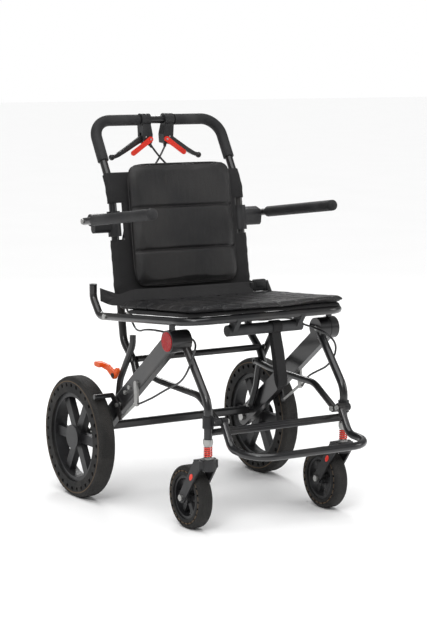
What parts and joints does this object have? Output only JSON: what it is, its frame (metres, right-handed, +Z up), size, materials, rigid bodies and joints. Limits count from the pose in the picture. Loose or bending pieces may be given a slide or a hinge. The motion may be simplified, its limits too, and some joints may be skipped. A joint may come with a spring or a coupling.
{
  "type": "manual wheelchair",
  "caption": "Folding travel wheelchair with small rear wheels, sprung casters, padded seat and back, hand brakes and a fold-up footrest.",
  "frame": {"origin": "middle of the chair's footprint on the floor", "axes": "+X to the sitter's left, +Y towards the back of the chair, +Z up; the chair faces -Y"},
  "size_m": [0.585, 0.805, 0.9495],
  "materials": {
    "black_powder_coat": "gloss powder coat",
    "black_paint": "satin paint",
    "black_nylon": "woven nylon",
    "black_webbing": "ribbed webbing",
    "black_leatherette": "fine grain",
    "black_plastic": "moulded",
    "grey_plastic": "moulded",
    "wheel_plastic": "moulded satin",
    "red_reflector": "prismatic",
    "zinc_steel": "zinc plated",
    "bearing_steel": "ground",
    "cable_sheath": "smooth",
    "black_foam": "soft foam",
    "orange_plastic": "moulded",
    "red_plastic": "moulded",
    "red_spring": "gloss",
    "black_rubber": "solid rubber"
  },
  "bodies": {
    "main_frame": {"seat_tube": "black_powder_coat", "seat_sling": "black_nylon", "seat_cushion": "black_leatherette", "rail_end_caps": "black_plastic", "carry_handle": "grey_plastic", "pull_strap": "black_webbing", "lap_belt": "black_webbing", "belt_buckle": "black_plastic", "side_beams": "black_powder_coat", "hub_reflectors": "red_reflector", "axles_and_bolts": "zinc_steel", "cable_fittings": "zinc_steel", "brake_cables_lower": "cable_sheath", "brake_springs": "zinc_steel"},
    "back_frame": {"back_tube": "black_powder_coat", "handle_grips": "black_foam", "back_sling": "black_nylon", "back_cushion": "black_leatherette", "armrest_clamps": "black_plastic", "back_bolts": "zinc_steel", "brake_hoods": "black_plastic", "brake_cables_upper": "cable_sheath"},
    "front_frame": {"front_legs": "black_powder_coat", "footrest_brackets": "black_plastic", "leg_fittings": "zinc_steel", "caster_spring_left": "red_spring", "caster_spring_right": "red_spring"},
    "footrest": {"footrest_tube": "black_powder_coat"},
    "front_struts": {"front_struts": "black_powder_coat"},
    "rear_struts": {"rear_struts": "black_powder_coat"},
    "foot_pedal": {"foot_pedal": "orange_plastic"},
    "armrest_left": {"armrest_tube_left": "black_powder_coat", "armrest_grip_left": "black_foam"},
    "brake_lever_left": {"brake_lever_left": "black_paint"},
    "parking_lock_left": {"parking_lock_left": "red_plastic"},
    "brake_arm_left": {"brake_arm_left": "black_powder_coat"},
    "caster_stem_left": {"caster_stem_left": "zinc_steel"},
    "caster_fork_left": {"caster_fork_left": "black_plastic", "caster_axle_left": "zinc_steel"},
    "caster_wheel_left": {"caster_rim_left": "wheel_plastic", "caster_tyre_left": "black_rubber", "caster_bearings_left": "bearing_steel"},
    "rear_wheel_left": {"rear_rim_left": "wheel_plastic", "rear_tyre_left": "black_rubber", "hub_cap_and_bearings_left": "wheel_plastic"},
    "armrest_right": {"armrest_tube_right": "black_powder_coat", "armrest_grip_right": "black_foam"},
    "brake_lever_right": {"brake_lever_right": "black_paint"},
    "parking_lock_right": {"parking_lock_right": "red_plastic"},
    "brake_arm_right": {"brake_arm_right": "black_powder_coat"},
    "caster_stem_right": {"caster_stem_right": "zinc_steel"},
    "caster_fork_right": {"caster_fork_right": "black_plastic", "caster_axle_right": "zinc_steel"},
    "caster_wheel_right": {"caster_rim_right": "wheel_plastic", "caster_tyre_right": "black_rubber", "caster_bearings_right": "bearing_steel"},
    "rear_wheel_right": {"rear_rim_right": "wheel_plastic", "rear_tyre_right": "black_rubber", "hub_cap_and_bearings_right": "wheel_plastic"}
  },
  "joints": [
    {"name": "back_fold", "type": "hinge", "parent": "main_frame", "child": "back_frame", "pos_m": [0, 0.18619, 0.4592], "axis": [1, 0, 0], "range_deg": [0, 62], "deforming": ["seat_cushion", "back_cushion", "lap_belt", "belt_buckle"]},
    {"name": "front_fold", "type": "hinge", "parent": "main_frame", "child": "front_frame", "pos_m": [0, -0.1255, 0.44], "axis": [1, 0, 0], "range_deg": [0, 46.5]},
    {"name": "front_strut_pivot", "type": "hinge", "parent": "front_frame", "child": "front_struts", "pos_m": [0, -0.236, 0.262], "axis": [1, 0, 0], "range_deg": [-41.9, 0]},
    {"name": "rear_strut_pivot", "type": "hinge", "parent": "main_frame", "child": "rear_struts", "pos_m": [0, 0.196, 0.193], "axis": [1, 0, 0], "range_deg": [-40.6, 0]},
    {"name": "footrest_fold", "type": "hinge", "parent": "front_frame", "child": "footrest", "pos_m": [0, -0.26, 0.268], "axis": [1, 0, 0], "range_deg": [-90, 0]},
    {"name": "pedal_press", "type": "hinge", "parent": "rear_struts", "child": "foot_pedal", "pos_m": [-0.216, 0.165, 0.315], "axis": [1, 0, 0], "range_deg": [-12, 0], "stiffness_Nm_per_rad": 1, "springref_deg": 2.86},
    {"name": "armrest_left_lift", "type": "hinge", "parent": "back_frame", "child": "armrest_left", "pos_m": [0.254, 0.238, 0.692], "axis": [1, 0, 0], "range_deg": [-90, 0]},
    {"name": "brake_lever_left_squeeze", "type": "hinge", "parent": "back_frame", "child": "brake_lever_left", "pos_m": [0.035, 0.3365, 0.89], "axis": [0, -1, 0], "range_deg": [0, 18], "stiffness_Nm_per_rad": 0.8, "springref_deg": -5.73},
    {"name": "parking_lock_left_turn", "type": "hinge", "parent": "back_frame", "child": "parking_lock_left", "pos_m": [0.024, 0.3165, 0.884], "axis": [0, 1, 0], "range_deg": [0, 25]},
    {"name": "brake_arm_left_press", "type": "hinge", "parent": "main_frame", "child": "brake_arm_left", "pos_m": [0.239, 0.11, 0.252], "axis": [1, 0, 0], "range_deg": [-9, 0], "deforming": ["brake_springs"]},
    {"name": "caster_left_suspension", "type": "slide", "parent": "front_frame", "child": "caster_stem_left", "axis": [0, 0, 1], "range_m": [0, 0.008], "stiffness_N_per_m": 15000, "springref_m": -0.003, "deforming": ["caster_spring_left"]},
    {"name": "caster_left_swivel", "type": "hinge", "parent": "caster_stem_left", "child": "caster_fork_left", "pos_m": [0.191, -0.236, 0.165], "axis": [0, 0, 1], "continuous": true},
    {"name": "caster_left_roll", "type": "hinge", "parent": "caster_fork_left", "child": "caster_wheel_left", "pos_m": [0.192, -0.161, 0.075], "axis": [1, 0, 0], "continuous": true},
    {"name": "rear_wheel_left_roll", "type": "hinge", "parent": "main_frame", "child": "rear_wheel_left", "pos_m": [0.27, 0.25, 0.1525], "axis": [1, 0, 0], "continuous": true},
    {"name": "armrest_right_lift", "type": "hinge", "parent": "back_frame", "child": "armrest_right", "pos_m": [-0.254, 0.238, 0.692], "axis": [1, 0, 0], "range_deg": [-90, 0]},
    {"name": "brake_lever_right_squeeze", "type": "hinge", "parent": "back_frame", "child": "brake_lever_right", "pos_m": [-0.035, 0.3365, 0.89], "axis": [0, 1, 0], "range_deg": [0, 18], "stiffness_Nm_per_rad": 0.8, "springref_deg": -5.73},
    {"name": "parking_lock_right_turn", "type": "hinge", "parent": "back_frame", "child": "parking_lock_right", "pos_m": [-0.024, 0.3165, 0.884], "axis": [0, -1, 0], "range_deg": [0, 25]},
    {"name": "brake_arm_right_press", "type": "hinge", "parent": "main_frame", "child": "brake_arm_right", "pos_m": [-0.239, 0.11, 0.252], "axis": [1, 0, 0], "range_deg": [-9, 0], "deforming": ["brake_springs"]},
    {"name": "caster_right_suspension", "type": "slide", "parent": "front_frame", "child": "caster_stem_right", "axis": [0, 0, 1], "range_m": [0, 0.008], "stiffness_N_per_m": 15000, "springref_m": -0.003, "deforming": ["caster_spring_right"]},
    {"name": "caster_right_swivel", "type": "hinge", "parent": "caster_stem_right", "child": "caster_fork_right", "pos_m": [-0.191, -0.236, 0.165], "axis": [0, 0, 1], "continuous": true},
    {"name": "caster_right_roll", "type": "hinge", "parent": "caster_fork_right", "child": "caster_wheel_right", "pos_m": [-0.192, -0.161, 0.075], "axis": [1, 0, 0], "continuous": true},
    {"name": "rear_wheel_right_roll", "type": "hinge", "parent": "main_frame", "child": "rear_wheel_right", "pos_m": [-0.27, 0.25, 0.1525], "axis": [1, 0, 0], "continuous": true}
  ],
  "couplings": [
    {"joint": "front_fold", "follows": "back_fold", "ratio": 0.75},
    {"joint": "front_strut_pivot", "follows": "back_fold", "ratio": -0.67581},
    {"joint": "rear_strut_pivot", "follows": "back_fold", "ratio": -0.65484},
    {"joint": "brake_arm_left_press", "follows": "brake_lever_left_squeeze", "ratio": -0.5},
    {"joint": "brake_arm_right_press", "follows": "brake_lever_right_squeeze", "ratio": -0.5}
  ]
}
